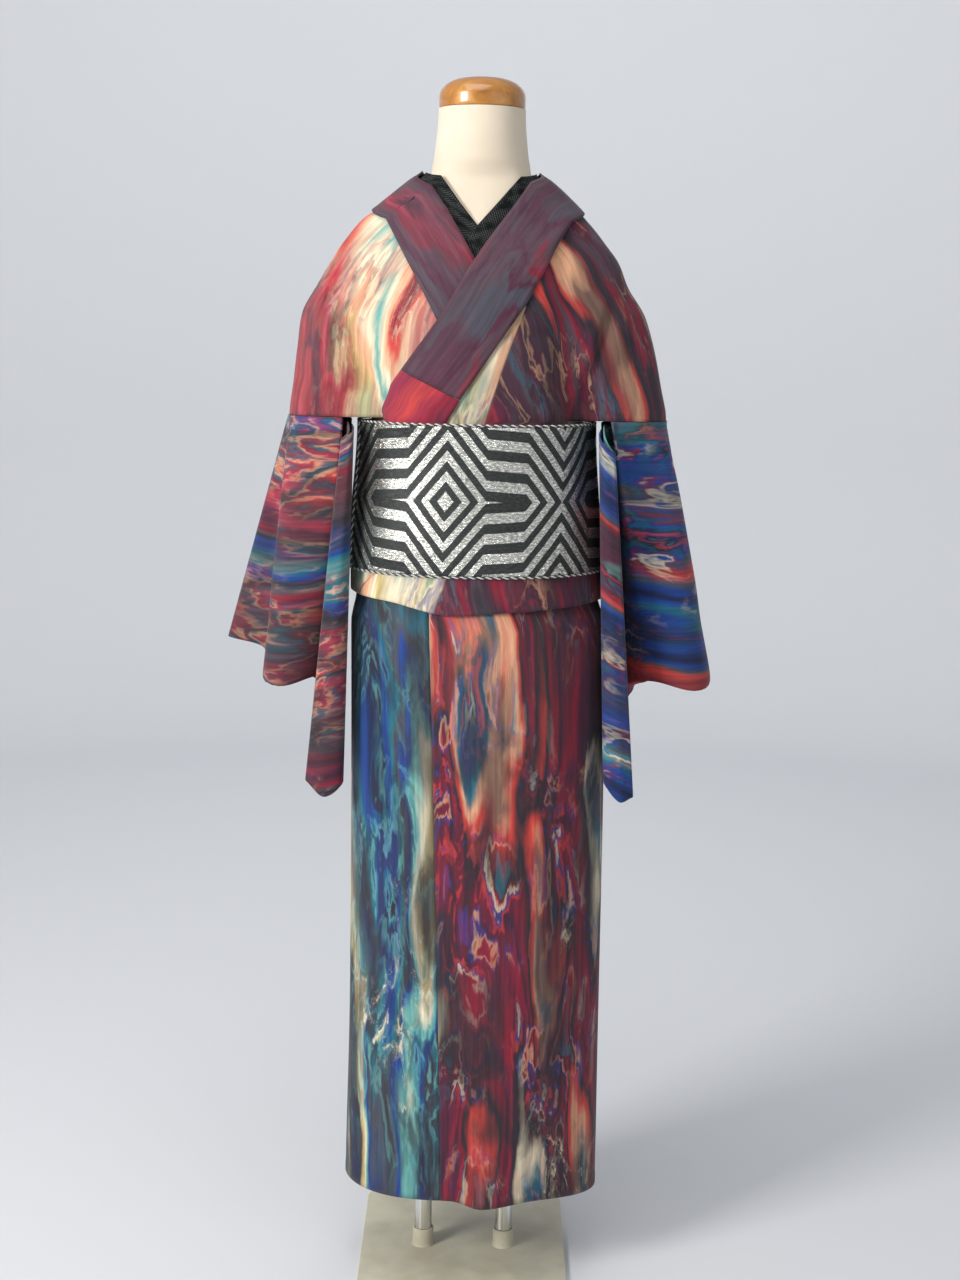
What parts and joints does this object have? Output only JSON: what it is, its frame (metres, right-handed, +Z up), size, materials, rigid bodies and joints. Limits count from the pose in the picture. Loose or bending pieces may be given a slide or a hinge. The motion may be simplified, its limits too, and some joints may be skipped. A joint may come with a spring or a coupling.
{
  "type": "cotton yukata robe on a dress form with stand",
  "caption": "Cotton yukata wrapped left over right and tied with a wide obi, on a limbless dress form with a wooden neck cap and a tubular stand.",
  "frame": {"origin": "middle of the base plate's underside, on the floor", "axes": "+Z up the form; the robe's front faces -Y; +X is the wearer's left"},
  "size_m": [0.6374, 0.332, 1.571],
  "materials": {
    "khaki_paint": "satin baked enamel",
    "steel_tube": "bright drawn tube",
    "form_cloth": "tight plain cotton cover",
    "honey_wood": "glossy honey varnish",
    "crimson_cloth": "dyed cotton, mostly crimson and plum",
    "cream_cloth": "dyed cotton, mostly cream and aqua",
    "blue_cloth": "dyed cotton, mostly blue and teal",
    "plum_cloth": "dyed cotton, mostly plum and crimson",
    "black_cloth": "black cloth with a fine pale check",
    "silver_cloth": "black and silver metallic-thread weave",
    "cord_yarn": "two-strand black and white cord"
  },
  "bodies": {
    "root": {"stand_plate": "khaki_paint", "stand_socket_left": "khaki_paint", "stand_socket_right": "khaki_paint", "stand_tube_left": "steel_tube", "stand_tube_right": "steel_tube", "form_torso": "form_cloth", "neck_cap": "honey_wood", "body_left_upper": "crimson_cloth", "body_right_upper": "cream_cloth", "overlap_left_upper": "cream_cloth", "collar_left_lower": "crimson_cloth", "collar_cover": "plum_cloth", "false_collar": "black_cloth", "skirt_left_front": "crimson_cloth", "skirt_left_overlap": "blue_cloth", "skirt_right_front": "crimson_cloth", "skirt_right_overlap": "blue_cloth", "skirt_back_left": "blue_cloth", "skirt_back_right": "blue_cloth", "sleeve_right": "plum_cloth", "sleeve_left": "blue_cloth", "obi_band": "silver_cloth", "obi_knot_tail": "silver_cloth", "obi_knot_end": "silver_cloth", "obi_cord_top": "cord_yarn", "obi_cord_low": "cord_yarn", "obi_cord_end": "cord_yarn"}
  },
  "joints": []
}
